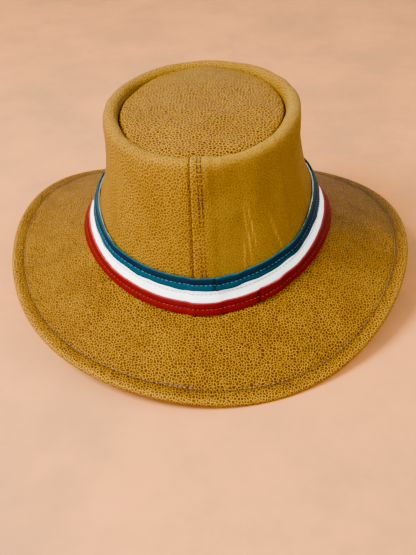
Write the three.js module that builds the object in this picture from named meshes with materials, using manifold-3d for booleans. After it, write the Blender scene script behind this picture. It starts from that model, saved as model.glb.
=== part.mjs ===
// A leather bush hat. The crown is one strip lapped at the back, with a rolled rim and a sunken
// oval tip. The brim is wired at its hem, droops at the front and back and curls up at the sides.
// Round the crown lies a loose band of three coloured leather strips.
//
// Millimetres, +Z up, +Y to the front of the hat, +X to the wearer's right. The origin is the
// centre of the head opening, where the brim leaves the crown. Angles run round the hat from +X
// towards +Y, so the back seam lies at -90 degrees.
import * as THREE from "three";
import { mergeVertices } from "three/addons/utils/BufferGeometryUtils.js";
import Module from "manifold-3d";

const wasm = await Module();
wasm.setup();

// ---- Overall sizes: ovals are [half width, half length] ---------------------------------------
const crownBase = [96, 105.5]; // outer face of the crown where it meets the brim
const crownRim = [68, 81.5]; // centreline of the rolled rim
const crownHeight = 105.5; // head opening to the top of the rim
const rimDip = 5; // the rim is this much lower at the back
const brimEdge = [159.5, 172.5]; // outermost line of the brim
const brimForward = 2; // the brim is longer in front than behind by twice this

// ---- Form of the brim and crown ---------------------------------------------------------------
const edgeDrop = 25.2; // mean depth of the brim's edge below the head opening
const sideCurl = 15.2; // how far the sides of the edge rise above that, and the ends fall below
const edgeWaves = [
  // small waves of the edge: waves in one turn, height of the cosine, height of the sine
  [1, -4.5, 1.8],
  [2, 0, -1.4],
  [3, 1.7, 3.3],
  [4, 0.8, -2.5],
];
const openingSaddle = 10.5; // the head opening rises this much at the sides and falls at the ends
const brimBow = 0.5; // bow of the brim between crown and edge: hollow at the sides, full at the ends
const sideFlare = 1.5; // hollow of the crown wall at the sides
const endFlare = 0.35; // and at the front and back
const rollRadius = 5.8; // outer radius of the rolled rim
const rimFlange = 7; // straight drop of the crown leather inside the rim
const tipSink = 4; // edge of the tip below the top of the rim
const tipSaddle = 1.8; // the edge is this much higher at the ends and lower at the sides
const tipDome = 3.5; // rise of the tip from its edge to its middle
const tipBend = 1.5; // bend between the tip and its turned-down flange

// ---- Leather, wire and thread -----------------------------------------------------------------
const leather = 1.8; // crown, tip and brim
const stripLeather = 1.4; // each strip of the band
const sweatLeather = 1.2;
const wireRadius = 0.8; // brim wire
const threadRadius = 0.35;
const gap = 0.3; // clearance between pieces that touch
const tipGap = 0.5; // clearance between the tip and the rim round it
const hemWidth = 10; // turned hem, from the wire to its cut edge
const hemRoll = 7; // width of the hem's swelling over the wire
const hemStitch = 8; // hem stitching, from the wire
const baseStitch = 1.8; // stitching of the crown to the brim, from the brim's inner edge
const wireBreak = 2; // open length between the wire's two ends
const standingFlat = 0.8; // depth of the worn flats that the hem stands on

// ---- Seams: places are measured along the back of the crown, to the right of its middle ------
const seamEdge = -6.8; // cut edge of the crown leather
const seamLap = 13; // width of the lapped back seam
const seamRows = [5.6, 8.6]; // the two stitch rows, from the cut edge
const lapRamp = 14; // length over which a lapped end comes down to the layer below

// ---- Band and sweatband: heights are measured up the crown from the brim ----------------------
const bandFoot = 2.1; // bottom of the white strip above the brim
const bandWidth = 23.4; // the white strip, which carries the two others
const edgeStripWidth = 9.1; // the teal strip at the top, and the red one at the bottom
const edgeStripLip = 2; // how far these two stand past the white strip's edges
const bandSlack = 0.6; // the band's play round the crown
const stripLap = 14; // overlap of each strip's ends
const tealEnd = 9; // where each strip's upper end is cut
const whiteEnd = 250; // in front, out of the way of the others
const redEnd = 40;
const whiteRow = 13.2; // stitch row of the white strip, above the strip's foot
const sweatFoot = 1; // sweatband's foot above the brim
const sweatWidth = 32;
const sweatSlack = [0.5, 1.2]; // the sweatband's distance off the crown at its foot and at its top
const sweatEnd = 5;
const sweatRow = 2.5; // stitch row above the sweatband's foot

// ---- Fineness ---------------------------------------------------------------------------------
const ringStep = 6; // degrees between sections
const lapStep = 3; // degrees between sections where the laps are
const lapZones = [
  [-108, -54],
  [54, 84],
];

const turn = 2 * Math.PI;
const degree = Math.PI / 180;
const back = -90 * degree;

const mix = (from, to, share) => from + (to - from) * share;
const clamp01 = (value) => Math.min(1, Math.max(0, value));
const smooth = (value) => {
  const share = clamp01(value);
  return share * share * (3 - 2 * share);
};

// ---- Surfaces ---------------------------------------------------------------------------------
// A point of the oval with the given half axes, moved outwards square to the oval.
function ovalPoint(half, angle, out, height) {
  const normal = new THREE.Vector2(half[1] * Math.cos(angle), half[0] * Math.sin(angle)).normalize();
  return new THREE.Vector3(
    half[0] * Math.cos(angle) + out * normal.x,
    half[1] * Math.sin(angle) + out * normal.y,
    height,
  );
}

const openingHeight = (angle) => openingSaddle * Math.cos(2 * angle);

function edgeHeight(angle) {
  const waves = edgeWaves.map(
    ([count, cosine, sine]) => cosine * Math.cos(count * angle) + sine * Math.sin(count * angle),
  );
  return waves.reduce((sum, wave) => sum + wave, sideCurl * Math.cos(2 * angle) - edgeDrop);
}

// Outer face of the crown wall: rise is the height above the brim, out the distance off the face.
const backDip = (angle) => rimDip * smooth(-Math.sin(angle));
const rollHeight = (angle) => crownHeight - rollRadius - backDip(angle);
const wallHeight = (angle) => rollHeight(angle) - openingHeight(angle);
function wallPoint(angle, rise, out) {
  const foot = openingHeight(angle);
  const climb = rise / wallHeight(angle);
  const across = Math.cos(2 * angle);
  const flare = across > 0 ? sideFlare * across : -endFlare * across;
  const drawnIn = climb + flare * climb * (1 - climb);
  const half = crownBase.map((base, i) => mix(base, crownRim[i] + rollRadius, drawnIn));
  return ovalPoint(half, angle, out, foot + rise);
}

// The rolled rim: bend runs from 0 at the outer wall, over the top, to pi at the inside.
const rollPoint = (angle, bend, radius) =>
  ovalPoint(crownRim, angle, radius * Math.cos(bend), rollHeight(angle) + radius * Math.sin(bend));

// A point of the brim's section: share runs from 0 at the crown to 1 at the wire, off is the
// distance above the brim's middle surface, square to it.
const wireInset = wireRadius + gap + leather;
function brimPoint(angle, share, off, beyond = 0) {
  const inner = ovalPoint(crownBase, angle, -leather, openingHeight(angle));
  const outer = ovalPoint(brimEdge, angle, -wireInset, edgeHeight(angle));
  outer.y += brimForward;
  const bow = brimBow * Math.cos(2 * angle);
  const along = new THREE.Vector3().subVectors(outer, inner);
  const fall = along.z;
  const slope = fall * (1 + bow - 2 * bow * share);
  const flat = Math.hypot(along.x, along.y);
  const outwards = new THREE.Vector3(along.x / flat, along.y / flat, 0);
  const length = Math.hypot(flat, slope);
  const tangent = outwards.clone().multiplyScalar(flat / length).setZ(slope / length);
  const normal = outwards.clone().multiplyScalar(-slope / length).setZ(flat / length);
  const point = inner.clone().addScaledVector(outwards, flat * share);
  point.z = inner.z + fall * ((1 + bow) * share - bow * share * share);
  return point.addScaledVector(normal, off).addScaledVector(tangent, beyond);
}

// Distance from the crown to the wire, along the brim.
function brimReach(angle) {
  return brimPoint(angle, 0, 0).distanceTo(brimPoint(angle, 1, 0));
}

// ---- Laps -------------------------------------------------------------------------------------
// The angle of a place along the back of the crown.
const backAngle = (place) => back + place / crownBase[0];

// How far a lapped end stands off the layer below it: thickness is that of the layer.
function lapLift(angle, end, lap, thickness) {
  const past = (angle - backAngle(end + lap)) / (backAngle(lapRamp) - back);
  return (thickness + gap) * (1 - smooth(past));
}

// Height that a lap adds to what lies over it: cover is the thickness that the lap adds.
function lapBump(angle, end, lap, cover) {
  const place = Math.atan2(Math.sin(angle), Math.cos(angle));
  const before = (backAngle(end) - place) / (backAngle(lapRamp) - back);
  return (1 - smooth(before)) * lapLift(place, end + 1, lap, cover);
}

// The crown's back seam, with or without its stitching.
const seamBump = (angle, cover) => lapBump(angle, seamEdge, seamLap, cover);
const sewnSeam = leather + gap + 2 * threadRadius;

// ---- Angles of the sections -------------------------------------------------------------------
function gridAngles() {
  const angles = [];
  const start = lapZones[0][0];
  let at = start;
  while (at < start + 360 - 1e-6) {
    angles.push(at * degree);
    const lapped = lapZones.some(([from, to]) => at >= from && at < to);
    at += lapped ? lapStep : ringStep;
  }
  return angles;
}
const fineRing = gridAngles();
const plainRing = Array.from({ length: 360 / ringStep }, (_, i) => back + i * ringStep * degree);

// The sections of a lapped strip, from its upper end round to the end that is tucked under it.
function lappedAngles(end, lap) {
  const from = backAngle(end);
  const to = backAngle(end + lap) + turn;
  const inside = [...fineRing, ...fineRing.map((a) => a + turn), ...fineRing.map((a) => a - turn)];
  const least = 0.3 * lapStep * degree;
  const kept = inside.filter((a) => a > from + least && a < to - least).sort((a, b) => a - b);
  return [from, ...kept, to];
}

// ---- Solids -----------------------------------------------------------------------------------
// Joins sections, each a loop of points, into one closed surface. A closed sheet returns to its
// first section, and an open one gets an end at its first and last.
function loft(sections, closed) {
  const count = sections[0].length;
  const positions = sections.flat().flatMap((point) => point.toArray());
  const index = [];
  const at = (k, j) => (k % sections.length) * count + (j % count);
  const laps = closed ? sections.length : sections.length - 1;
  for (let k = 0; k < laps; k++) {
    for (let j = 0; j < count; j++) {
      index.push(at(k, j), at(k, j + 1), at(k + 1, j + 1));
      index.push(at(k, j), at(k + 1, j + 1), at(k + 1, j));
    }
  }
  if (!closed) {
    const last = sections.length - 1;
    for (let i = 0, j = count - 1; i + 1 < j; i++, j--) {
      index.push(at(0, i + 1), at(0, i), at(0, j));
      index.push(at(last, i), at(last, i + 1), at(last, j));
      if (i + 1 < j - 1) {
        index.push(at(0, j - 1), at(0, i + 1), at(0, j));
        index.push(at(last, i + 1), at(last, j - 1), at(last, j));
      }
    }
  }
  const geometry = new THREE.BufferGeometry();
  geometry.setAttribute("position", new THREE.Float32BufferAttribute(positions, 3));
  geometry.setIndex(index);
  return facedOutwards(mergeVertices(geometry, 1e-3));
}

// Drops the triangles that meet at a pole, and turns the faces to point out.
function facedOutwards(geometry) {
  const place = geometry.getAttribute("position");
  const corner = (i) => new THREE.Vector3().fromBufferAttribute(place, i);
  const faces = [];
  let volume = 0;
  for (let i = 0; i < geometry.index.count; i += 3) {
    const [a, b, c] = [0, 1, 2].map((n) => geometry.index.getX(i + n));
    if (a === b || b === c || a === c) continue;
    volume += corner(a).dot(corner(b).cross(corner(c)));
    faces.push([a, b, c]);
  }
  geometry.setIndex((volume < 0 ? faces.map(([a, b, c]) => [a, c, b]) : faces).flat());
  return geometry;
}

const toManifold = (geometry) =>
  new wasm.Manifold(
    new wasm.Mesh({
      numProp: 3,
      vertProperties: geometry.attributes.position.array,
      triVerts: new Uint32Array(geometry.index.array),
    }),
  );

function fromManifold(solid) {
  const mesh = solid.getMesh();
  const geometry = new THREE.BufferGeometry();
  geometry.setAttribute("position", new THREE.BufferAttribute(mesh.vertProperties, 3));
  geometry.setIndex(new THREE.BufferAttribute(mesh.triVerts, 1));
  return geometry;
}

const bothFaces = (outer, inner) => [...outer, ...inner.reverse()];

// A thread laid along a seam: centre gives the line, and up and side the two ways across it.
function thread(centres, closed) {
  const sections = centres.map(({ at, side, up }) =>
    [90, 210, 330].map((spot) =>
      at
        .clone()
        .addScaledVector(side, threadRadius * Math.cos(spot * degree))
        .addScaledVector(up, threadRadius * Math.sin(spot * degree)),
    ),
  );
  return loft(sections, closed);
}

// ---- Crown ------------------------------------------------------------------------------------
function crownSide() {
  const rises = [0, 0.1, 0.2, 0.33, 0.55, 0.78];
  const bends = [0, 45, 90, 135, 180];
  const sections = lappedAngles(seamEdge, seamLap).map((angle) => {
    const lift = lapLift(angle, seamEdge, seamLap, leather);
    const face = (depth) => {
      const off = lift - depth;
      const foot = wallPoint(angle, leather / 2 + gap, off);
      const wall = rises.slice(1).map((share) => wallPoint(angle, share * wallHeight(angle), off));
      const roll = bends.map((bend) => rollPoint(angle, bend * degree, rollRadius + off));
      const flange = roll.at(-1).clone().setZ(rollHeight(angle) - rimFlange);
      return [foot, ...wall, ...roll, flange];
    };
    return bothFaces(face(0), face(leather));
  });
  return loft(sections, false);
}

// Outer face of the tip's flange, clear of the rim and of the seam that crosses the rim.
const tipOut = (angle) => -(rollRadius + seamBump(angle, leather) + tipGap);
function tipHeight(angle, share) {
  const edge = -tipSaddle * Math.cos(2 * angle) - backDip(angle);
  return crownHeight - tipSink + edge * share ** 2 + tipDome * (1 - share ** 2);
}

function crownTip() {
  const shares = [0.4, 0.8];
  const top = tipHeight(0, 0);
  const sections = fineRing.map((angle) => {
    const out = tipOut(angle);
    const rim = ovalPoint(crownRim, angle, out, 0);
    const edge = tipHeight(angle, 1);
    const flangeFoot = rollHeight(angle) - rimFlange;
    const inwards = (point, share, height) =>
      new THREE.Vector3(point.x * share, point.y * share, height);
    const upper = [
      new THREE.Vector3(0, 0, top),
      ...shares.map((share) => inwards(rim, share, tipHeight(angle, share))),
      ovalPoint(crownRim, angle, out - tipBend, edge),
      ovalPoint(crownRim, angle, out, edge - tipBend),
      ovalPoint(crownRim, angle, out, flangeFoot),
    ];
    const lower = [
      new THREE.Vector3(0, 0, top - leather),
      ...shares.map((share) => inwards(rim, share, tipHeight(angle, share) - leather)),
      ovalPoint(crownRim, angle, out - tipBend - leather / 2, edge - leather),
      ovalPoint(crownRim, angle, out - leather, edge - tipBend - leather / 2),
      ovalPoint(crownRim, angle, out - leather, flangeFoot),
    ];
    return bothFaces(upper, lower);
  });
  return loft(sections, true);
}

// ---- Brim -------------------------------------------------------------------------------------
// The leather is folded round the wire and sewn down below: the section follows the sheet out
// along the brim, round the wire and back along the underside.
const foldRadius = wireRadius + gap;
const hemShare = (angle, inset) => 1 - inset / brimReach(angle);
const hemSwell = (inset) => smooth(1 - inset / hemRoll);

// Height of the brim's upper face above its middle surface, at a distance in from the wire.
const brimTop = (inset) => mix(leather / 2, foldRadius + leather, hemSwell(inset));
const turnedTop = (inset) => mix(-leather / 2 - gap, -foldRadius, hemSwell(inset));

function brim() {
  const shares = [0, 0.25, 0.5, 0.72];
  const insets = [hemWidth, hemRoll, 0.6 * hemRoll, 0.3 * hemRoll];
  const bends = [90, 45, 0, -45, -90];
  const sections = plainRing.map((angle) => {
    const sheetFace = (depth) => {
      const main = shares.map((share) => brimPoint(angle, share, leather / 2 - depth));
      const swell = insets.map((inset) =>
        brimPoint(angle, hemShare(angle, inset), brimTop(inset) - depth),
      );
      const radius = foldRadius + leather - depth;
      const fold = bends.map((bend) =>
        brimPoint(angle, 1, radius * Math.sin(bend * degree), radius * Math.cos(bend * degree)),
      );
      const turned = [...insets].reverse().map((inset) =>
        brimPoint(angle, hemShare(angle, inset), turnedTop(inset) - leather + depth),
      );
      return [...main, ...swell, ...fold, ...turned];
    };
    return bothFaces(sheetFace(0), sheetFace(leather));
  });
  const whole = loft(sections, true);
  whole.computeBoundingBox();
  const { min, max } = whole.boundingBox;
  const ground = new THREE.BoxGeometry(2 * (max.x - min.x), 2 * (max.y - min.y), 2 * standingFlat);
  ground.deleteAttribute("normal");
  ground.deleteAttribute("uv");
  ground.translate(0, 0, min.z);
  return fromManifold(toManifold(whole).subtract(toManifold(mergeVertices(ground))));
}

function brimWire() {
  const half = wireBreak / 2 / brimEdge[0];
  const spots = [0, 60, 120, 180, 240, 300];
  const inside = plainRing.slice(1);
  const sections = [back + half, ...inside, back + turn - half].map((angle) =>
    spots.map((spot) =>
      brimPoint(
        angle,
        1,
        wireRadius * Math.sin(spot * degree),
        wireRadius * Math.cos(spot * degree),
      ),
    ),
  );
  return loft(sections, false);
}

// ---- Strips round the crown -------------------------------------------------------------------
// A lapped strip outside the crown, between two heights: offAt gives the distance of its inner
// face off the wall.
const upright = new THREE.Vector3(0, 0, 1);

function outerStrip(end, low, high, offAt) {
  const heights = [low, mix(low, high, 0.5), high];
  const sections = lappedAngles(end, stripLap).map((angle) => {
    const inner = offAt(angle) + lapLift(angle, end, stripLap, stripLeather);
    const face = (out) => heights.map((height) => wallPoint(angle, height, out));
    return bothFaces(face(inner + stripLeather), face(inner));
  });
  return loft(sections, false);
}

function sweatband() {
  const sections = lappedAngles(sweatEnd, stripLap).map((angle) => {
    const lift = lapLift(angle, sweatEnd, stripLap, sweatLeather);
    const face = (depth) =>
      [0, 0.5, 1].map((share) =>
        wallPoint(
          angle,
          leather / 2 + sweatFoot + share * sweatWidth,
          -leather - mix(sweatSlack[0], sweatSlack[1], share) - lift - depth,
        ),
      );
    return bothFaces(face(0), face(sweatLeather));
  });
  return loft(sections, false);
}

// ---- Stitching --------------------------------------------------------------------------------
const threadClear = threadRadius + gap;

// A closed row round the crown wall: out gives the distance off the wall at each angle.
const wallRow = (height, out) =>
  thread(
    fineRing.map((angle) => {
      const at = wallPoint(angle, height, out(angle));
      const side = wallPoint(angle, height, out(angle) + 1).sub(at).normalize();
      return { at, side, up: upright };
    }),
    true,
  );

// Highest layer of a lapped strip at an angle, measured off the wall.
const stripTop = (angle, end, off, thickness) =>
  off + thickness + lapBump(angle, end, stripLap, thickness);

// A closed row on the brim: share gives its place across the brim, rise its height over the
// middle of the leather.
const brimRow = (shareAt, rise) =>
  thread(
    plainRing.map((angle) => {
      const share = shareAt(angle);
      const at = brimPoint(angle, share, rise);
      const side = brimPoint(angle, share, rise, 1).sub(at).normalize();
      return { at, side, up: upright };
    }),
    true,
  );
const hemRowShare = (angle) => hemShare(angle, hemStitch);
const baseShare = (angle) => baseStitch / brimReach(angle);

// One of the two rows up the back seam, from the brim to the top of the roll.
function seamThread(row) {
  const angle = backAngle(seamEdge + row);
  const off = leather + gap + threadClear;
  const rises = [0.04, 0.2, 0.4, 0.6, 0.8, 0.95];
  const bends = [0, 30, 60, 90];
  const side = new THREE.Vector3(1, 0, 0);
  const wall = rises.map((share) => wallPoint(angle, share * wallHeight(angle), off));
  const roll = bends.map((bend) => rollPoint(angle, bend * degree, rollRadius + off));
  const points = [...wall, ...roll];
  const centres = points.map((at, i) => {
    const next = points[Math.min(i + 1, points.length - 1)];
    const last = points[Math.max(i - 1, 0)];
    const up = new THREE.Vector3().crossVectors(side, next.clone().sub(last)).normalize();
    return { at, side, up };
  });
  return thread(centres, false);
}

// Joins the two flanges inside the top of the crown, just below their cut edges.
function tipThread() {
  const centres = fineRing.map((angle) => {
    const out = tipOut(angle);
    const at = ovalPoint(crownRim, angle, out, rollHeight(angle) - rimFlange - threadClear);
    const side = ovalPoint(crownRim, angle, out + 1, at.z).sub(at);
    return { at, side, up: upright };
  });
  return thread(centres, true);
}

// ---- The hat ----------------------------------------------------------------------------------
const tan = { color: 0xa9824e, roughness: 0.62, metalness: 0 };
const looks = {
  tanLeather: new THREE.MeshStandardMaterial(tan),
  sweatLeather: new THREE.MeshStandardMaterial({ color: 0x6b4a2c, roughness: 0.7, metalness: 0 }),
  tealLeather: new THREE.MeshStandardMaterial({ color: 0x1f5a66, roughness: 0.5, metalness: 0 }),
  whiteLeather: new THREE.MeshStandardMaterial({ color: 0xd9d5cd, roughness: 0.55, metalness: 0 }),
  redLeather: new THREE.MeshStandardMaterial({ color: 0xb3262c, roughness: 0.5, metalness: 0 }),
  brownThread: new THREE.MeshStandardMaterial({ color: 0x3b2417, roughness: 0.8, metalness: 0 }),
  paleThread: new THREE.MeshStandardMaterial({ color: 0xc7b8ad, roughness: 0.8, metalness: 0 }),
  steel: new THREE.MeshStandardMaterial({ color: 0x9a9ca0, roughness: 0.35, metalness: 1 }),
};

const hat = new THREE.Group();
function add(name, geometry, material) {
  const mesh = new THREE.Mesh(geometry, material);
  mesh.name = name;
  hat.add(mesh);
}

const strip = stripLeather;
const foot = leather / 2 + bandFoot;
const head = foot + bandWidth;
const overCrown = (angle) => bandSlack + seamBump(angle, sewnSeam);
const overWhite = (angle) =>
  overCrown(angle) + strip + gap + lapBump(angle, whiteEnd, stripLap, strip);
const rowOut = (end, offAt) => (angle) =>
  stripTop(angle, end, offAt(angle), strip) + threadClear;
const tealLow = head + edgeStripLip - edgeStripWidth;
const redHigh = foot - edgeStripLip + edgeStripWidth;

add("crown_side", crownSide(), looks.tanLeather);
add("crown_tip", crownTip(), looks.tanLeather);
add("brim", brim(), looks.tanLeather);
add("brim_wire", brimWire(), looks.steel);
add("sweatband", sweatband(), looks.sweatLeather);

add("hatband_white_strip", outerStrip(whiteEnd, foot, head, overCrown), looks.whiteLeather);
add(
  "hatband_teal_strip",
  outerStrip(tealEnd, tealLow, tealLow + edgeStripWidth, overWhite),
  looks.tealLeather,
);
add(
  "hatband_red_strip",
  outerStrip(redEnd, redHigh - edgeStripWidth, redHigh, overWhite),
  looks.redLeather,
);

seamRows.forEach((row, i) => {
  add("back_seam_thread_" + ["left", "right"][i], seamThread(row), looks.brownThread);
});
add("brim_hem_thread", brimRow(hemRowShare, brimTop(hemStitch) + threadClear), looks.paleThread);
add("tip_seam_thread", tipThread(), looks.brownThread);
add("base_seam_thread", brimRow(baseShare, -leather / 2 - threadClear), looks.brownThread);
add(
  "sweatband_thread",
  wallRow(
    leather / 2 + sweatFoot + sweatRow,
    (angle) => -stripTop(angle, sweatEnd, leather + sweatSlack[1], sweatLeather) - threadClear,
  ),
  looks.paleThread,
);
const midEdgeStrip = edgeStripWidth / 2;
const stitchRows = [
  ["teal_strip_thread", tealLow + midEdgeStrip, tealEnd, overWhite],
  ["red_strip_thread", redHigh - midEdgeStrip, redEnd, overWhite],
  ["white_strip_thread", foot + whiteRow, whiteEnd, overCrown],
];
stitchRows.forEach(([name, height, end, offAt]) => {
  add(name, wallRow(height, rowOut(end, offAt)), looks.paleThread);
});

export default hat;
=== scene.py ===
import math

import bpy
import numpy as np
from mathutils import Matrix, Vector


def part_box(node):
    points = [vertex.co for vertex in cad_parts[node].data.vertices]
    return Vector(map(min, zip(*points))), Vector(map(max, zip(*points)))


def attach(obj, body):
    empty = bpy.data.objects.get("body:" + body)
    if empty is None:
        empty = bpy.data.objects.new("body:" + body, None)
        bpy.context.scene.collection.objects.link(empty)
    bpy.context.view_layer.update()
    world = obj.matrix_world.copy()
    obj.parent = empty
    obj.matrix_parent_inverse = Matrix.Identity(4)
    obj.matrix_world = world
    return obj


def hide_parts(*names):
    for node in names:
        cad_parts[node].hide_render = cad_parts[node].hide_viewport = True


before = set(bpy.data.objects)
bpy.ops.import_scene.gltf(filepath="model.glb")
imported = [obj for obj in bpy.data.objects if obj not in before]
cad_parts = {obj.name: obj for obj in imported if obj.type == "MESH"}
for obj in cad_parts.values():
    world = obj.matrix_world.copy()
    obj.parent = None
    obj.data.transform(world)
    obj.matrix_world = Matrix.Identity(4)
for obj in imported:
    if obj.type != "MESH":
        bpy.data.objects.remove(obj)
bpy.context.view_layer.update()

MM = 0.001
DEGREE = math.pi / 180
TURN = 2 * math.pi
BACK = -90 * DEGREE


def box_mm(node):
    low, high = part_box(node)
    return np.array(low) / MM, np.array(high) / MM


# ---- Sizes shared with the CAD pieces, in millimetres ------------------------------------------
brim_low, brim_high = box_mm("brim")
BRIM_EDGE = (brim_high - brim_low)[:2] / 2
BRIM_FORWARD = (brim_high + brim_low)[1] / 2
GROUND = brim_low[2]
CROWN_BASE = np.array([96.0, 105.5])
CROWN_RIM = np.array([68.0, 81.5])
CROWN_HEIGHT = 105.5
RIM_DIP = 5.0
EDGE_DROP = 25.2
SIDE_CURL = 15.2
EDGE_WAVES = [(1, -4.5, 1.8), (2, 0.0, -1.4), (3, 1.7, 3.3), (4, 0.8, -2.5)]
OPENING_SADDLE = 10.5
BRIM_BOW = 0.5
SIDE_FLARE = 1.5
END_FLARE = 0.35
ROLL_RADIUS = 5.8
RIM_FLANGE = 7.0
TIP_SINK = 4.0
TIP_SADDLE = 1.8
TIP_DOME = 3.5
TIP_GAP = 0.9
LEATHER = 1.8
STRIP = 1.2
SWEAT_LEATHER = 1.2
WIRE_RADIUS = 0.8
GAP = 0.3
HEM_WIDTH = 10.0
HEM_ROLL = 7.0
HEM_STITCH = 8.0
BASE_STITCH = 1.8
SEAM_EDGE = -6.8
SEAM_LAP = 13.0
SEAM_ROWS = (5.6, 8.6)
BAND_FOOT = 2.1
BAND_WIDTH = 23.4
EDGE_STRIP = 9.1
EDGE_LIP = 2.0
STRIP_LAP = 14.0
TEAL_END = 9.0
WHITE_END = 250.0
RED_END = 40.0
WHITE_ROW = 13.2
SWEAT_FOOT = 1.0
SWEAT_WIDTH = 32.0
SWEAT_END = 5.0
SWEAT_ROW = 2.5

WIRE_INSET = WIRE_RADIUS + GAP + LEATHER
FOLD_RADIUS = WIRE_RADIUS + GAP

# ---- Small helpers -----------------------------------------------------------------------------


def smooth(value):
    share = np.clip(value, 0, 1)
    return share * share * (3 - 2 * share)


def bump(value, middle, width):
    return np.exp(-(((value - middle) / width) ** 2))


def ripples(points, wavelength, amount, seed):
    """A smooth random height at each point, about the given wavelength and amount."""
    rng = np.random.default_rng(seed)
    total = np.zeros(points.shape[:-1])
    count = 9
    for _ in range(count):
        way = rng.normal(size=3)
        way *= TURN / wavelength * rng.uniform(0.7, 1.4) / np.linalg.norm(way)
        total += np.sin(points @ way + rng.uniform(0, TURN))
    return amount * total / math.sqrt(count)


def back_angle(place):
    """The angle of a place along the back of the crown, to the right of its middle."""
    return BACK + place / CROWN_BASE[0]


def back_place(angle):
    """The place along the back of the crown at an angle, from -pi to pi round the back."""
    turned = np.mod(angle - BACK + math.pi, TURN) - math.pi
    return turned * CROWN_BASE[0]


# ---- Surfaces of the hat -----------------------------------------------------------------------


def oval(half, angle, out, height):
    """Points of the oval with the given half axes, moved outwards square to it."""
    angle, out, height = np.broadcast_arrays(angle, out, height)
    cos, sin = np.cos(angle), np.sin(angle)
    nx, ny = half[1] * cos, half[0] * sin
    length = np.hypot(nx, ny)
    x = half[0] * cos + out * nx / length
    y = half[1] * sin + out * ny / length
    return np.stack([x, y, height], axis=-1)


def opening_height(angle):
    return OPENING_SADDLE * np.cos(2 * angle)


def edge_height(angle):
    height = SIDE_CURL * np.cos(2 * angle) - EDGE_DROP
    for count, cosine, sine in EDGE_WAVES:
        height = height + cosine * np.cos(count * angle) + sine * np.sin(count * angle)
    return height


def back_dip(angle):
    return RIM_DIP * smooth(-np.sin(angle))


def roll_height(angle):
    return CROWN_HEIGHT - ROLL_RADIUS - back_dip(angle)


def wall_height(angle):
    return roll_height(angle) - opening_height(angle)


def wall(angle, rise, out):
    """The crown's outer face at a height above the brim."""
    angle, rise, out = np.broadcast_arrays(angle, rise, out)
    foot = opening_height(angle)
    climb = rise / wall_height(angle)
    across = np.cos(2 * angle)
    flare = np.where(across > 0, SIDE_FLARE, -END_FLARE) * across
    drawn_in = climb + flare * climb * (1 - climb)
    half = [CROWN_BASE[i] + (CROWN_RIM[i] + ROLL_RADIUS - CROWN_BASE[i]) * drawn_in for i in (0, 1)]
    return oval(half, angle, out, foot + rise)


def rolled(angle, bend, radius):
    """The rolled rim: bend runs from 0 outside, over the top, to pi inside."""
    return oval(CROWN_RIM, angle, radius * np.cos(bend), roll_height(angle) + radius * np.sin(bend))


def brim_point(angle, share, off, beyond=0.0):
    """A point over or under the brim's middle surface, from 0 at the crown to 1 at the wire."""
    angle, share, off, beyond = np.broadcast_arrays(angle, share, off, beyond)
    inner = oval(CROWN_BASE, angle, -LEATHER, opening_height(angle))
    outer = oval(BRIM_EDGE, angle, -WIRE_INSET, edge_height(angle))
    outer[..., 1] += BRIM_FORWARD
    bow = BRIM_BOW * np.cos(2 * angle)
    along = outer - inner
    fall = along[..., 2]
    flat = np.hypot(along[..., 0], along[..., 1])
    slope = fall * (1 + bow - 2 * bow * share)
    length = np.hypot(flat, slope)
    outwards = along / flat[..., None]
    outwards[..., 2] = 0
    tangent = outwards * (flat / length)[..., None]
    tangent[..., 2] = slope / length
    normal = -outwards * (slope / length)[..., None]
    normal[..., 2] = flat / length
    point = inner + outwards * (flat * share)[..., None]
    point[..., 2] = inner[..., 2] + fall * ((1 + bow) * share - bow * share * share)
    return point + normal * off[..., None] + tangent * beyond[..., None]


def brim_reach(angle):
    return np.linalg.norm(brim_point(angle, 1.0, 0.0) - brim_point(angle, 0.0, 0.0), axis=-1)


def hem_share(angle, inset):
    return 1 - inset / brim_reach(angle)


def hem_swell(inset):
    return smooth(1 - inset / HEM_ROLL)


# ---- Meshes ------------------------------------------------------------------------------------


def lapped_angles(end, lap, step):
    start = back_angle(end)
    stop = back_angle(end + lap) + TURN
    return np.linspace(start, stop, int((stop - start) / (step * DEGREE)) + 1)


def ring_angles(step):
    return BACK + np.arange(0, 360, step) * DEGREE


def new_object(name, points, faces, material):
    mesh = bpy.data.meshes.new(name)
    mesh.from_pydata((points.reshape(-1, 3) * MM).tolist(), [], faces)
    mesh.polygons.foreach_set("use_smooth", [True] * len(mesh.polygons))
    mesh.materials.append(material)
    piece = bpy.data.objects.new(name, mesh)
    bpy.context.scene.collection.objects.link(piece)
    return piece


def paint(piece, values):
    for name, value in values.items():
        layer = piece.data.attributes.new(name, "FLOAT", "POINT")
        layer.data.foreach_set("value", np.asarray(value, dtype=float).reshape(-1))


def run_out(top):
    """How far each point of a face lies along its section from the section's first point."""
    steps = np.linalg.norm(np.diff(top, axis=1), axis=-1)
    return np.pad(np.cumsum(steps, axis=1), ((0, 0), (1, 0)))


def spread(top):
    """A dished face laid flat: its sections spread straight out from the middle."""
    start = np.linalg.norm(top[:, :1, :2], axis=-1)
    way = top[:, :1, :2] / start[..., None]
    return way * (start + run_out(top))[..., None]


# How much painted shade the two end rows of an open sheet get, on its cut ends.
END_PAINTED_SHADE = 0.6


def edge_round(end, before, across):
    """Three points that round a cut edge off, from one face to the other."""
    way = end - before
    thick = np.linalg.norm(across, axis=-1, keepdims=True)
    way = way / np.maximum(np.linalg.norm(way, axis=-1, keepdims=True), 1e-9) * thick
    return [end + 0.12 * across + 0.2 * way, end + 0.5 * across + 0.32 * way, end + 0.88 * across + 0.2 * way]


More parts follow.
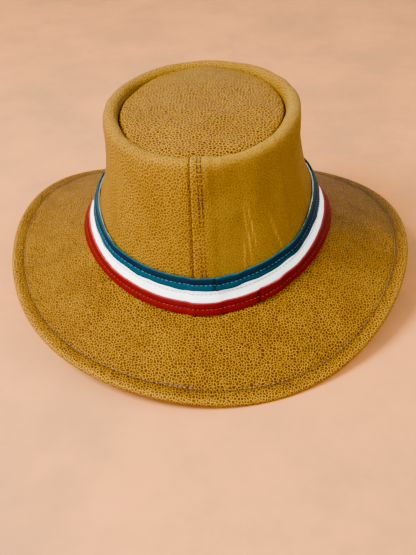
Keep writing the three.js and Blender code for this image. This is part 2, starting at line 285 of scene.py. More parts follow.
def sheet(name, top, under, closed, material, flat=None, wear=0.0, sleek=0.0, dark=0.0, tone=0.0):
    """A sheet of leather between two faces of sections x points, with rounded cut edges.

    flat holds where each point of the top face lies on the flat hide, for the grain: as seen
    from above unless it is given. The four arguments after it are painted on the top face:
    lighter where rubbed pale and where light is painted, grain rubbed smooth and painted
    darker as shade, painted shade and shadow along with a strip's darkened nicks, and a
    strip's position across its width, with which its material paints shade towards the top."""
    across = under - top
    flat = top[..., :2] if flat is None else flat
    if not closed:
        lead = edge_round(top[0], top[1], across[0])
        lead_under = edge_round(under[0], under[1], -across[0])
        tail = edge_round(top[-1], top[-2], across[-1])
        tail_under = edge_round(under[-1], under[-2], -across[-1])
        wear, sleek, dark, tone = [
            np.pad(np.broadcast_to(np.asarray(v, float), top.shape[:2]), ((2, 2), (0, 0)), "edge")
            for v in (wear, sleek, dark, tone)
        ]
        flat = np.pad(flat, ((2, 2), (0, 0), (0, 0)), "edge")
        dark = dark.copy()
        # Painted shade on the cut ends.
        dark[:2] = END_PAINTED_SHADE
        dark[-2:] = END_PAINTED_SHADE
        top = np.concatenate([[lead[1] * 0.65 + lead[0] * 0.35], [lead[0]], top, [tail[0]],
                              [tail[1] * 0.65 + tail[0] * 0.35]])
        under = np.concatenate([[lead_under[1] * 0.65 + lead_under[0] * 0.35], [lead_under[0]], under,
                                [tail_under[0]], [tail_under[1] * 0.65 + tail_under[0] * 0.35]])
        across = under - top
    far = edge_round(top[:, -1], top[:, -2], across[:, -1])
    near = edge_round(under[:, 0], under[:, 1], -across[:, 0])
    loop = np.concatenate([top, np.stack(far, 1), under[:, ::-1], np.stack(near, 1)], axis=1)
    sections, count = loop.shape[:2]
    shape = top.shape[:2]

    def around(value, edge, below):
        face = np.broadcast_to(np.asarray(value, float), shape)
        rim = np.full((sections, 3), edge, float)
        return np.concatenate([face, rim, np.full(shape, below, float), rim], axis=1)

    def hide_place(part):
        face = flat[..., part] * MM
        ends = [np.repeat(face[:, k:k + 1], 3, axis=1) for k in (shape[1] - 1, 0)]
        return np.concatenate([face, ends[0], face[:, ::-1], ends[1]], axis=1)

    values = {
        "hide_x": hide_place(0),
        "hide_y": hide_place(1),
        "wear": around(wear, 1.0, 0.0),
        "sleek": around(sleek, 1.0, 1.0),
        "dark": around(dark, 0.0, 0.0),
        "tone": around(tone, 0.5, 0.5),
        "flesh": around(0.0, 0.3, 1.0),
    }
    faces = []
    laps = sections if closed else sections - 1
    for k in range(laps):
        a, b = k * count, (k + 1) % sections * count
        faces += [(a + j, b + j, b + (j + 1) % count, a + (j + 1) % count) for j in range(count)]
    if not closed:
        last = (sections - 1) * count
        inner_count = shape[1]
        pair = [(i, 2 * inner_count + 2 - i) for i in range(inner_count)]
        for (i, o), (i2, o2) in zip(pair, pair[1:]):
            faces.append((i, i2, o2, o))
            faces.append((last + i2, last + i, last + o, last + o2))
        m = inner_count - 1
        faces.append((m, m + 1, m + 2, m + 3, m + 4))
        faces.append(tuple(last + q for q in (m + 4, m + 3, m + 2, m + 1, m)))
        start = 2 * inner_count + 2
        faces.append((0, start, start + 1, start + 2, start + 3))
        faces.append(tuple(last + q for q in (start + 3, start + 2, start + 1, start, 0)))
    piece = new_object(name, loop, faces, material)
    paint(piece, values)
    return piece


# ---- Materials ---------------------------------------------------------------------------------


class Shader:
    """A short way to write a material's nodes."""

    def __init__(self, name, roughness, **sockets):
        self.material = bpy.data.materials.new(name)
        self.material.use_nodes = True
        self.nodes = self.material.node_tree.nodes
        self.links = self.material.node_tree.links
        self.surface = self.nodes["Principled BSDF"]
        self.surface.inputs["Roughness"].default_value = roughness
        for socket, value in sockets.items():
            self.surface.inputs[socket.replace("_", " ")].default_value = value
        self.where = self.nodes.new("ShaderNodeTexCoord").outputs["Object"]

    def plug(self, value, socket):
        if isinstance(value, bpy.types.NodeSocket):
            self.links.new(value, socket)
        else:
            socket.default_value = value

    def noise(self, scale, detail=3.0, rough=0.55, where=None):
        node = self.nodes.new("ShaderNodeTexNoise")
        self.plug(where or self.where, node.inputs["Vector"])
        node.inputs["Scale"].default_value = scale
        node.inputs["Detail"].default_value = detail
        node.inputs["Roughness"].default_value = rough
        return node.outputs["Fac"]

    def on_hide(self, scale, amount):
        """The place on the flat hide, shifted about a little."""
        node = self.nodes.new("ShaderNodeTexNoise")
        self.links.new(self.where, node.inputs["Vector"])
        node.inputs["Scale"].default_value = scale
        flat = self.nodes.new("ShaderNodeCombineXYZ")
        self.links.new(self.painted("hide_x"), flat.inputs["X"])
        self.links.new(self.painted("hide_y"), flat.inputs["Y"])
        shift = self.nodes.new("ShaderNodeVectorMath")
        shift.operation = "MULTIPLY_ADD"
        self.links.new(node.outputs["Color"], shift.inputs[0])
        shift.inputs[1].default_value = (amount,) * 3
        self.links.new(flat.outputs["Vector"], shift.inputs[2])
        return shift.outputs[0]

    def cells(self, scale, where=None, feature="F1", dimensions="3D"):
        node = self.nodes.new("ShaderNodeTexVoronoi")
        node.feature = feature
        node.voronoi_dimensions = dimensions
        self.plug(where or self.where, node.inputs["Vector"])
        node.inputs["Scale"].default_value = scale
        return node.outputs["Distance"]

    def ramp(self, value, low, high, from_zero=0.0, to_one=1.0):
        node = self.nodes.new("ShaderNodeMapRange")
        node.interpolation_type = "SMOOTHSTEP"
        self.plug(value, node.inputs["Value"])
        node.inputs["From Min"].default_value = low
        node.inputs["From Max"].default_value = high
        node.inputs["To Min"].default_value = from_zero
        node.inputs["To Max"].default_value = to_one
        return node.outputs["Result"]

    def math(self, kind, first, second=0.0, third=None):
        node = self.nodes.new("ShaderNodeMath")
        node.operation = kind
        self.plug(first, node.inputs[0])
        self.plug(second, node.inputs[1])
        if third is not None:
            self.plug(third, node.inputs[2])
        return node.outputs[0]

    def mix(self, share, first, second):
        node = self.nodes.new("ShaderNodeMix")
        node.data_type = "RGBA"
        self.plug(share, node.inputs["Factor"])
        self.plug(first, node.inputs["A"])
        self.plug(second, node.inputs["B"])
        return node.outputs["Result"]

    def painted(self, name):
        node = self.nodes.new("ShaderNodeAttribute")
        node.attribute_name = name
        return node.outputs["Fac"]

    def colour(self, value):
        self.plug(value, self.surface.inputs["Base Color"])

    def roughness(self, value):
        self.plug(value, self.surface.inputs["Roughness"])

    def relief(self, height, depth_mm, strength=1.0):
        node = self.nodes.new("ShaderNodeBump")
        node.inputs["Strength"].default_value = strength
        node.inputs["Distance"].default_value = depth_mm * MM
        self.plug(height, node.inputs["Height"])
        self.links.new(node.outputs["Normal"], self.surface.inputs["Normal"])


def rgb(red, green, blue):
    """A colour given as it looks on a screen, 0 to 255."""
    return tuple(((v / 255 + 0.055) / 1.055) ** 2.4 if v > 10 else v / 255 / 12.92
                 for v in (red, green, blue)) + (1.0,)


def pebbled_leather():
    """Tan leather: a dense grain of deep brown pits with paler ridges between, lighter where rubbed pale and where
    light is painted, darker as painted shade where rubbed smooth and wherever shade is painted.
    """
    s = Shader("pebbled_tan_leather", 0.6, Specular_IOR_Level=0.07, Specular_Tint=rgb(255, 200, 120))
    inside = s.cells(480, s.on_hide(300, 0.0011), "DISTANCE_TO_EDGE", "2D")
    pits = s.ramp(s.math("MULTIPLY_ADD", s.noise(420, 2), 0.2, inside), 0.15, 0.38)
    fibres = s.ramp(s.noise(760, 2, 0.6), 0.44, 0.6)
    grain = s.math("MULTIPLY_ADD", fibres, 0.15, s.math("MULTIPLY", pits, 0.95))
    sleek = s.painted("sleek")
    smoother = s.math("SUBTRACT", 1.0, s.math("MULTIPLY", sleek, 0.8))
    grain = s.math("MULTIPLY", grain, smoother)
    patchy = s.ramp(s.noise(34, 4), 0.35, 0.68)
    tan = s.mix(patchy, rgb(*TAN_LIGHT), rgb(*TAN_DEEP))
    # Smooth leather takes a darker colour, partly painted shade.
    tan = s.mix(s.math("MULTIPLY", sleek, 0.8), tan, rgb(*TAN_SLEEK_SHADED))
    # Lighter where rubbed pale and where a highlight or light is painted.
    wear = s.math("MULTIPLY", s.painted("wear"), s.ramp(s.noise(420, 3), 0.3, 0.62, 0.35, 1.0))
    tan = s.mix(s.math("MULTIPLY", wear, 0.7), tan, rgb(*TAN_WORN_AND_LIT))
    tan = s.mix(s.math("MULTIPLY", grain, 0.88), tan, rgb(*TAN_PIT))
    # Painted shade and shadow on the tan leather.
    tan = s.mix(s.painted("dark"), tan, rgb(*TAN_PAINTED_SHADE))
    suede = s.mix(s.noise(700, 4), rgb(120, 84, 36), rgb(144, 104, 52))
    s.colour(s.mix(s.painted("flesh"), tan, suede))
    s.roughness(s.ramp(s.noise(300, 2), 0.2, 0.8, 0.44, 0.62))
    fine = s.math("MULTIPLY", s.noise(1500, 2), 0.18)
    s.relief(s.math("SUBTRACT", fine, grain), 0.6)
    return s.material


def strip_leather(name, main, second, edge, grain=0.12):
    """Smooth dyed leather: main below and second above its stitch row, second being a darker copy painted as shade;
    paler on its cut edges.
    """
    s = Shader(name, 0.5, Specular_IOR_Level=0.03)
    tone = s.ramp(s.math("ADD", s.painted("tone"), s.math("MULTIPLY", s.noise(120, 3), 0.16)), 0.5, 0.68)
    cloud = s.ramp(s.noise(55, 4), 0.3, 0.7, 0.0, 0.22)
    # Painted shade: the darker second colour towards the top of the strip.
    base = s.mix(tone, main, second)
    base = s.mix(cloud, base, tuple(0.72 * c for c in main[:3]) + (1.0,))
    # Paler on cut edges, their own colour, and along a strip's top edge as a painted highlight.
    worn = s.math("MULTIPLY", s.painted("wear"), s.ramp(s.noise(380, 3), 0.25, 0.6, 0.5, 1.0))
    base = s.mix(worn, base, edge)
    # Painted shade and shadow, and a strip's darkened nicks.
    base = s.mix(s.painted("dark"), base, tuple(0.08 * c for c in main[:3]) + (1.0,))
    s.colour(base)
    s.roughness(s.ramp(s.noise(240, 2), 0.2, 0.8, 0.42, 0.6))
    pores = s.math("MULTIPLY", s.ramp(s.cells(1100), 0.0, 0.5), 0.6)
    s.relief(s.math("ADD", pores, s.noise(420, 3)), grain)
    return s.material


def plain_leather(name, light, deep):
    s = Shader(name, 0.62, Specular_IOR_Level=0.35)
    s.colour(s.mix(s.ramp(s.noise(60, 4), 0.3, 0.7), light, deep))
    s.roughness(s.ramp(s.noise(300, 2), 0.2, 0.8, 0.52, 0.72))
    s.relief(s.math("ADD", s.cells(900), s.noise(300, 3)), 0.14)
    return s.material


def thread_material(name, light, deep):
    s = Shader(name, 0.8, Specular_IOR_Level=0.1)
    s.colour(s.mix(s.ramp(s.noise(1800, 2), 0.35, 0.65), light, deep))
    s.relief(s.noise(2600, 2), 0.12)
    return s.material


def wire_material():
    s = Shader("spring_wire", 0.35, Metallic=1.0)
    s.colour(s.mix(s.noise(400, 3), (0.46, 0.47, 0.48, 1), (0.62, 0.62, 0.63, 1)))
    s.relief(s.noise(1500, 2), 0.03)
    return s.material


def floor_material():
    s = Shader("pale_floor", 0.85, Specular_IOR_Level=0.1)
    s.colour(s.mix(s.ramp(s.noise(9, 8, 0.7), 0.3, 0.7), rgb(178, 110, 52), rgb(146, 98, 56)))
    return s.material


# Colours of the tan leather: its grain's ridges and creases, a colour for leather rubbed smooth that is partly
# painted shade, a rubbed pale colour also used for painted highlights, and painted shade and shadow.
TAN_LIGHT = (115, 78, 4)
TAN_DEEP = (102, 67, 2)
TAN_SLEEK_SHADED = (64, 53, 7)
TAN_PIT = (30, 8, 0)
TAN_WORN_AND_LIT = (158, 112, 18)
TAN_PAINTED_SHADE = (20, 8, 0)

TAN = pebbled_leather()
# The teal's second colour, used above its stitch row, is a darker copy painted as shade; the red's is a little
# darker too.
TEAL = strip_leather("teal_leather", rgb(0, 38, 52), rgb(0, 9, 26), rgb(6, 50, 54))
WHITE = strip_leather("white_leather", rgb(244, 254, 255), rgb(244, 254, 255), rgb(250, 255, 255), 0.05)
RED = strip_leather("red_leather", rgb(70, 0, 0), rgb(64, 0, 0), rgb(120, 34, 38))
SWEAT = plain_leather("sweatband_leather", rgb(84, 52, 26), rgb(62, 36, 16))
BROWN_THREAD = thread_material("brown_thread", rgb(60, 34, 16), rgb(28, 14, 6))
LILAC_THREAD = thread_material("lilac_grey_thread", rgb(112, 82, 56), rgb(64, 42, 28))
TEAL_THREAD = thread_material("pale_teal_thread", rgb(36, 92, 96), rgb(8, 44, 52))
RED_THREAD = thread_material("dull_red_thread", rgb(100, 34, 30), rgb(60, 12, 12))
WHITE_THREAD = thread_material("grey_thread", rgb(96, 104, 108), rgb(60, 66, 72))
# Small discs of painted shade at each stitch end stand for the needle holes.
NEEDLE_HOLE_SHADE = thread_material("needle_hole_shade", rgb(40, 24, 12), rgb(26, 14, 8))
WIRE = wire_material()

# ---- Camera and lights -------------------------------------------------------------------------
VIEW_FROM = 3.4
VIEW_DOWN = 35.5
VIEW_ROLL = -3.4
VIEW_DISTANCE = 0.608
VIEW_TARGET = Vector((0.0, -0.080, 0.0027))
LENS = 53.9
SHIFT = 0.0047


def make_camera():
    camera = bpy.data.objects.new("camera", bpy.data.cameras.new("camera"))
    bpy.context.scene.collection.objects.link(camera)
    camera.data.sensor_fit = "VERTICAL"
    camera.data.sensor_height = 36
    camera.data.lens = LENS
    camera.data.shift_x = SHIFT
    camera.data.clip_start = 0.02
    around, down = math.radians(VIEW_FROM), math.radians(VIEW_DOWN)
    way = Vector((math.sin(around) * math.cos(down), -math.cos(around) * math.cos(down), math.sin(down)))
    turn = (-way).to_track_quat("-Z", "Y").to_matrix().to_4x4()
    roll = Matrix.Rotation(math.radians(VIEW_ROLL), 4, "Z")
    camera.matrix_world = Matrix.Translation(VIEW_TARGET + way * VIEW_DISTANCE) @ turn @ roll
    bpy.context.scene.camera = camera


def make_light(name, place, size, power, colour=(1, 1, 1)):
    light = bpy.data.lights.new(name, "AREA")
    light.shape = "DISK"
    light.size = size
    light.energy = power
    light.color = colour
    lamp = bpy.data.objects.new(name, light)
    lamp.location = place
    lamp.rotation_euler = (-Vector(place)).to_track_quat("-Z", "Y").to_euler()
    bpy.context.scene.collection.objects.link(lamp)


def make_studio():
    size = 4.0
    low = GROUND * MM
    points = np.array([[-size, -size, low], [size, -size, low], [size, size, low], [-size, size, low]]) / MM
    floor = new_object("floor", points, [(0, 1, 2, 3)], floor_material())
    world = bpy.data.worlds.new("studio")
    world.use_nodes = True
    world.node_tree.nodes["Background"].inputs["Color"].default_value = (0.97, 0.99, 1.0, 1)
    world.node_tree.nodes["Background"].inputs["Strength"].default_value = 1.65
    bpy.context.scene.world = world
    make_light("key_light", (-0.85, -0.45, 1.1), 0.7, 103, (1.0, 0.99, 0.97))
    make_light("fill_light", (-0.7, -1.2, 0.35), 1.0, 30, (1.0, 0.99, 0.98))
    make_light("side_light", (0.9, -0.25, 0.85), 0.8, 16, (1.0, 0.96, 0.9))


# ---- Crown -------------------------------------------------------------------------------------
LAP_LIFT = 1.0
LAP_RAMP = 8.0
FINE_STEP = 0.75
FLANGE_POINTS = 7

# The crown wall laid flat is part of a ring: the share of a full turn it spans, and its reach.
CONE_SHARE = 0.24
CONE_REACH = CROWN_BASE[0] / CONE_SHARE

# Dents of the crown wall: place along the back, height above the opening, half sizes, depth.
DENTS = [
    (26, 74, 17, 14, 1.6),
    (38, 52, 10, 26, 0.9),
    (-30, 60, 26, 24, 0.6),
    (64, 64, 12, 30, 1.3),
    (-78, 50, 20, 26, 0.9),
]


def relaxed(points, rounds):
    """Evens out a face along its sections, without moving its ends."""
    points = points.copy()
    for _ in range(rounds):
        points[:, 1:-1] = 0.25 * points[:, :-2] + 0.5 * points[:, 1:-1] + 0.25 * points[:, 2:]
    return points


def crown_dents(angle, height):
    place = back_place(angle)
    depth = 0.0
    for x, z, wide, tall, deep in DENTS:
        depth = depth + deep * bump(place, x, wide) * bump(height, z, tall)
    creases = 0.35 * np.sin((height - 0.35 * place) / 1.9) * bump(place, 27, 10) * bump(height, 76, 11)
    return -depth + creases


def make_crown_side():
    angle = lapped_angles(SEAM_EDGE, SEAM_LAP, FINE_STEP)[:, None]
    start, stop = angle[0, 0], angle[-1, 0]
    ramp = back_angle(LAP_RAMP) - BACK
    raised = 1 - smooth((angle - back_angle(SEAM_EDGE + SEAM_LAP)) / ramp)
    tucked = smooth((angle - (stop - (back_angle(SEAM_LAP + 4) - BACK))) / (0.4 * ramp))
    lift = LAP_LIFT * raised - 0.95 * tucked
    foot = LEATHER / 2 + GAP
    rise = foot + np.linspace(0, 1, 46)[None, :] * (wall_height(angle) - foot)
    height = rise + opening_height(angle)
    bends = np.linspace(0, math.pi, 22)[None, 1:]
    drops = np.linspace(0, RIM_FLANGE, FLANGE_POINTS)[None, 1:]

    def face(depth):
        tail_depth = depth * (1 - 0.5 * tucked)
        out = lift - tail_depth
        side = wall(angle, rise, out + crown_dents(angle, height))
        roll = rolled(angle, bends, ROLL_RADIUS + out)
        flange = oval(CROWN_RIM, angle, -(ROLL_RADIUS + out), roll_height(angle) - drops)
        whole = np.concatenate([side, roll, flange], axis=1)
        return relaxed(whole, 10)

    top, under = face(0.0), face(LEATHER)
    uneven = ripples(top, 26, 0.28, 3) + ripples(top, 9, 0.07, 4)
    uneven *= smooth((top.shape[1] - np.arange(top.shape[1]) - FLANGE_POINTS) / 6)[None, :]
    centre = under - top
    top = top - centre / LEATHER * uneven[..., None] * 0.9
    place = back_place(angle)
    count = top.shape[1]
    share = np.arange(count)[None, :] / (count - 1)
    roll_top = bump(np.arange(count)[None, :], 46 + 9, 9)
    right = smooth((place + 4) / 14) * smooth((190 - place) / 60)
    # The crown's right side is rubbed smoother and painted darker as shade; the roll's top a little too.
    sleek = np.clip(0.3 + 0.45 * right + 0.1 * roll_top, 0, 1) * np.ones_like(share)
    # The whole wall is painted a little lighter and the rim roll's top lighter still: painted light, with some real
    # rubbing on the roll.
    wear = 0.15 + 0.4 * roll_top + 0.0 * place
    for x, z, lean, long in SCRATCHES:
        line = place - x - lean * (top[..., 2] - z)
        wear = np.maximum(wear, 1.2 * bump(line, 0, 0.7) * bump(top[..., 2], z, long))
    # The seam's lapping cut edge is paler: its own cut-edge colour and a painted highlight.
    near_edge = bump(place, SEAM_EDGE, 0.8) * (angle < start + 0.2)
    wear = np.clip(wear + 0.45 * near_edge, 0, 1)
    # Painted shadow just left of the back seam's raised lapping edge.
    shadow = 0.5 * bump(place, SEAM_EDGE - 1.2, 0.9) * (angle > start + 0.2) * np.ones_like(share)
    reach = CONE_REACH - run_out(top)
    turned = angle * CONE_SHARE
    flat = np.stack([reach * np.cos(turned), reach * np.sin(turned)], axis=-1)
    piece = sheet("crown_side_leather", top, under, False, TAN, flat, wear, sleek, shadow)
    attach(piece, "hat")
    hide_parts("crown_side")


# Pale scratches of the right of the crown: place, height, lean, half length.
SCRATCHES = [(38, 44, -0.05, 26), (42, 50, -0.12, 18), (62, 40, -0.25, 15), (33, 30, 0.1, 12)]


def tip_height(angle, share):
    edge = -TIP_SADDLE * np.cos(2 * angle) - back_dip(angle)
    return CROWN_HEIGHT - TIP_SINK + edge * share**2 + TIP_DOME * (1 - share**2.4)


# The tip's grain is coarser than the rest.
TIP_GRAIN = 0.88


def make_crown_tip():
    angle = ring_angles(FINE_STEP)[:, None]
    place = back_place(angle)
    seam = smooth((place - SEAM_EDGE + 3) / 3) * (1 - smooth((place - SEAM_EDGE - SEAM_LAP) / LAP_RAMP))
    out = -(ROLL_RADIUS + TIP_GAP + LAP_LIFT * seam)
    shares = np.linspace(0.004, 0.965, 44)[None, :]
    bends = np.linspace(0, 0.5 * math.pi, 9)[None, 1:]
    corner = 2.0

    def face(depth):
        rim = oval(CROWN_RIM, angle, out, 0.0)
        dome = rim * shares[..., None]
        dome[..., 2] = tip_height(angle, shares) - depth
        edge = tip_height(angle, 1.0) - corner
        bend = oval(CROWN_RIM, angle, out - corner + (corner - 0.6 * depth) * np.sin(bends),
                    edge + (corner - depth) * np.cos(bends))
        drop = np.linspace(0, 1, 6)[None, 1:]
        foot = roll_height(angle) - RIM_FLANGE
        flange = oval(CROWN_RIM, angle, out - 0.6 * depth, edge + (foot - edge) * drop)
        return relaxed(np.concatenate([dome, bend, flange], axis=1), 4)

    top, under = face(0.0), face(LEATHER)
    fade = smooth((1 - np.linspace(0, 1, top.shape[1])) * 4)[None, :]
    uneven = (ripples(top, 34, 0.45, 11) + ripples(top, 11, 0.1, 12)) * fade
    top[..., 2] += uneven
    under[..., 2] += uneven
    # The tip is painted lighter towards the back and darker towards the front as painted light and shade; its front
    # is also rubbed smoother.
    front = smooth((top[..., 1] - 20) / 50)
    piece = sheet("crown_tip_leather", top, under, True, TAN, TIP_GRAIN * spread(top),
                  0.34 - 0.24 * front, 0.55 * front, 0.05 * front)
    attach(piece, "hat")
    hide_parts("crown_tip")


# ---- Brim --------------------------------------------------------------------------------------
HEM_GROOVE = 0.6


def hem_top(inset):
    swell = LEATHER / 2 + (FOLD_RADIUS + LEATHER / 2) * hem_swell(inset)
    return swell - HEM_GROOVE * bump(inset, HEM_STITCH, 1.3)


def make_brim():
    angle = ring_angles(0.5)[:, None]
    main = np.linspace(0, 1, 40)[None, :-1] * hem_share(angle, HEM_WIDTH + 2)
    insets = np.linspace(HEM_WIDTH + 2, 0, 26)[None, :-1]
    bends = np.linspace(90, -90, 19)[None, :] * DEGREE
    back_in = insets[:, ::-1]
    back_in = back_in[back_in <= HEM_WIDTH][None, :]
    turned = -LEATHER / 2 - GAP + (LEATHER / 2 + GAP - FOLD_RADIUS) * hem_swell(back_in)

    def face(depth):
        radius = FOLD_RADIUS + LEATHER - depth
        parts = [
            brim_point(angle, main, LEATHER / 2 - depth),
            brim_point(angle, hem_share(angle, insets), hem_top(insets) - depth),
            brim_point(angle, 1.0, radius * np.sin(bends), radius * np.cos(bends)),
            brim_point(angle, hem_share(angle, back_in), turned - LEATHER + depth),
        ]
        return np.concatenate(parts, axis=1)

    top, under = face(0.0), face(LEATHER)
    split = main.shape[1] + insets.shape[1]
    uneven = ripples(top[:, :split], 30, 0.3, 21) + ripples(top[:, :split], 10, 0.08, 22)
    fade = smooth(np.minimum(np.arange(split), split - np.arange(split)) / 8)[None, :]
    top[:, :split, 2] += uneven * fade
    under[:, :split, 2] += uneven * fade
    top[..., 2] = np.maximum(top[..., 2], GROUND)
    count = top.shape[1]
    step = np.arange(count)[None, :]
    edge_line = split + 7
    # The hem's roll is painted lighter: a painted highlight along it, with some real rubbing.
    wear = 0.8 * bump(step, edge_line - 4, 6) + np.zeros_like(angle)
    # Painted shade in the groove at the hem's stitch line.
    dark = np.zeros((len(angle), count))
    inset_all = np.concatenate([np.full(main.shape[1], 99.0), insets[0], np.full(count - split, 99.0)])
    dark += 0.45 * bump(inset_all, HEM_STITCH - 0.8, 1.5)[None, :]
    sleek = 0.2 * bump(step, edge_line, 6) + np.zeros_like(angle)
    piece = sheet("brim_leather", top, under, True, TAN, spread(top), wear, sleek, dark)
    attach(piece, "hat")
    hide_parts("brim")


# ---- Strips ------------------------------------------------------------------------------------


def seam_rise(angle):
    """How far the lapped back seam and its stitching push the strips off the crown wall."""
    place = back_place(angle)
    lead = smooth((place - SEAM_EDGE + 7) / 6)
    trail = 1 - smooth((place - SEAM_EDGE - SEAM_LAP - 2) / 8)
    return (LAP_LIFT + 0.35) * lead * trail


def white_rise(angle):
    """How far the white strip's lap, in front, lifts the strips that are sewn over it."""
    place = back_place(angle)
    lead = smooth((place - WHITE_END + 7) / 6)
    trail = 1 - smooth((place - WHITE_END - STRIP_LAP - 2) / 9)
    return (STRIP + 0.1) * lead * trail


# A strip's lapping end is kicked up over this length, and its covered end may be trimmed lower.
KICK_LENGTH = 16.0
TRIM_LENGTH = STRIP_LAP + 8


def make_strip(name, node, material, end, low, high, off, row, wave, seed, kick=0.0, nicks=(), trim=0.0):
    angle = lapped_angles(end, STRIP_LAP, FINE_STEP)[:, None]
    ramp = back_angle(9.0) - BACK
    raised = 1 - smooth((angle - back_angle(end + STRIP_LAP)) / ramp)
    across = np.linspace(0, 1, 17)[None, :]
    place = back_place(angle)
    wobble = wave * (np.sin(place / 5.3 + seed) + 0.7 * np.sin(place / 2.9 + 2 * seed))
    kicked = kick * np.exp(-(angle - angle[0]) * CROWN_BASE[0] / KICK_LENGTH)
    tail = smooth((angle - angle[-1]) * CROWN_BASE[0] / 4 + TRIM_LENGTH / 4)
    heights = low + kicked + wobble * (1 - across) + (high - trim * tail - low) * across
    over_white = white_rise(angle) if off > WHITE_OFF else 0.0
    inner = off + seam_rise(angle) + over_white + (STRIP + 0.1) * raised
    pillow = 0.35 * (1 - (2 * across - 1) ** 4)
    groove = 0.3 * bump(heights, row, 0.7)
    top = wall(angle, heights, inner + STRIP + pillow - groove)
    under = wall(angle, heights, inner + 0 * across)
    uneven = ripples(top, 14, 0.09, seed + 40)
    outward = (top - under) / np.linalg.norm(top - under, axis=-1, keepdims=True)
    top = top + outward * uneven[..., None]
    under = under + outward * uneven[..., None]
    # A pale line along the top edge, partly its cut edge's own colour and partly a painted highlight; the bottom
    # edge is paler from place 45 on, its cut edge.
    wear = 0.5 * bump(across, 1.0, 0.04) + 0.8 * bump(across, 0.0, 0.03) * smooth((place - 45) / 20)
    # Painted shadow on the covered layer beside a lapping end, in the gap under it.
    lap_gap_shadow = (angle > angle[0, 0] + STRIP_LAP / CROWN_BASE[0]) * bump(place, end - 1.4, 1.5 - 0.6 * across)
    # Painted shade along the stitch row's groove, with the lap gap's painted shadow.
    dark = 0.3 * bump(heights, row, 0.5) + 0.9 * lap_gap_shadow
    for nick in nicks:
        dark = dark + 0.9 * bump(place, nick, 0.8) * bump(across, 0, 0.22)
    dark = np.clip(dark, 0, 1)
    # Painted shade: more of a strip's darker colour towards its top and further round to the right.
    painted_shade_across = across + 0.22 * smooth((place - 15) / 50)
    piece = sheet(name, top, under, False, material, wear=wear, sleek=1.0, dark=dark, tone=painted_shade_across)
    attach(piece, "hatband")
    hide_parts(node)


def make_sweatband():
    angle = lapped_angles(SWEAT_END, STRIP_LAP, 1.5)[:, None]
    ramp = back_angle(9.0) - BACK
    raised = 1 - smooth((angle - back_angle(SWEAT_END + STRIP_LAP)) / ramp)
    across = np.linspace(0, 1, 13)[None, :]
    inset = LEATHER + 0.5 + 0.7 * across + (SWEAT_LEATHER + 0.2) * raised
    heights = LEATHER / 2 + SWEAT_FOOT + SWEAT_WIDTH * across
    top = wall(angle, heights, -inset - SWEAT_LEATHER)
    under = wall(angle, heights, -inset)
    piece = sheet("sweatband_leather", under, top, False, SWEAT)
    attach(piece, "hat")
    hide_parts("sweatband")


# ---- Stitching ---------------------------------------------------------------------------------


def stitches(name, line, out, pitch, length, radius, material, seed, holes=True):
    """Separate stitches along a line of points; out is the way off the surface at each."""
    rng = np.random.default_rng(seed)
    steps = np.linalg.norm(np.diff(line, axis=0), axis=1)
    run = np.concatenate([[0], np.cumsum(steps)])

    def at(values, where):
        return np.stack([np.interp(where, run, values[:, i]) for i in range(3)], axis=-1)

    count = int(run[-1] / pitch)
    pitch = run[-1] / count
    starts = (np.arange(count) + 0.5) * pitch - length / 2 + rng.normal(0, 0.06 * pitch, count)
    starts = np.clip(starts, 0, run[-1] - length)
    rings, sides = 7, 6
    share = np.linspace(0, 1, rings)
    where = starts[:, None] + share[None, :] * length
    centre = at(line, where)
    normal = at(out, where)
    normal /= np.linalg.norm(normal, axis=-1, keepdims=True)
    along = at(line, where + 0.05) - at(line, where - 0.05)
    along /= np.linalg.norm(along, axis=-1, keepdims=True)
    side = np.cross(along, normal)
    arch = radius * (1.55 * (1 - (2 * share - 1) ** 4) - 1.0)
    skew = rng.normal(0, 0.25 * radius, count)[:, None] * (2 * share - 1)[None, :]
    centre = centre + normal * arch[None, :, None] + side * skew[..., None]
    spin = np.linspace(0, TURN, sides, endpoint=False)
    thick = radius * (0.65 + 0.35 * (1 - (2 * share - 1) ** 2))
    points = (centre[:, :, None, :]
              + side[:, :, None, :] * (thick[:, None] * np.cos(spin))[None, :, :, None]
              + normal[:, :, None, :] * (thick[:, None] * np.sin(spin))[None, :, :, None])
    faces = []
    for s in range(count):
        base = s * rings * sides
        for r in range(rings - 1):
            a = base + r * sides
            faces += [(a + j, a + (j + 1) % sides, a + sides + (j + 1) % sides, a + sides + j) for j in range(sides)]
        faces.append(tuple(base + j for j in reversed(range(sides))))
        faces.append(tuple(base + (rings - 1) * sides + j for j in range(sides)))
    points = points.reshape(-1, 3)
    materials_index = [0] * len(faces)
    # A small disc of painted shade at each stitch end, for its needle hole.
    if holes:
        ends = np.concatenate([starts - 0.15 * length * 0.3, starts + length * 1.045])
        spot = at(line, ends)
        up = at(out, ends)
        up /= np.linalg.norm(up, axis=-1, keepdims=True)
        way = at(line, ends + 0.05) - at(line, ends - 0.05)
        way /= np.linalg.norm(way, axis=-1, keepdims=True)
        cross = np.cross(way, up)
        start = len(points)
        ring = (spot[:, None] + way[:, None] * (0.8 * radius * np.cos(spin))[None, :, None]
                + cross[:, None] * (0.8 * radius * np.sin(spin))[None, :, None])
        top = spot + up * 0.12 * radius
        bottom = spot - up * 0.5 * radius
        block = np.concatenate([ring, top[:, None], bottom[:, None]], axis=1)
        points = np.concatenate([points, block.reshape(-1, 3)])
        for s in range(len(ends)):
            base = start + s * (sides + 2)
            for j in range(sides):
                k = (j + 1) % sides
                faces.append((base + j, base + k, base + sides))
                faces.append((base + k, base + j, base + sides + 1))
                materials_index += [1, 1]
    piece = new_object(name, points, faces, material)
    piece.data.materials.append(NEEDLE_HOLE_SHADE)
    piece.data.polygons.foreach_set("material_index", materials_index)
    return piece


def finish_row(piece, body, node):
    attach(piece, body)
    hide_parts(node)


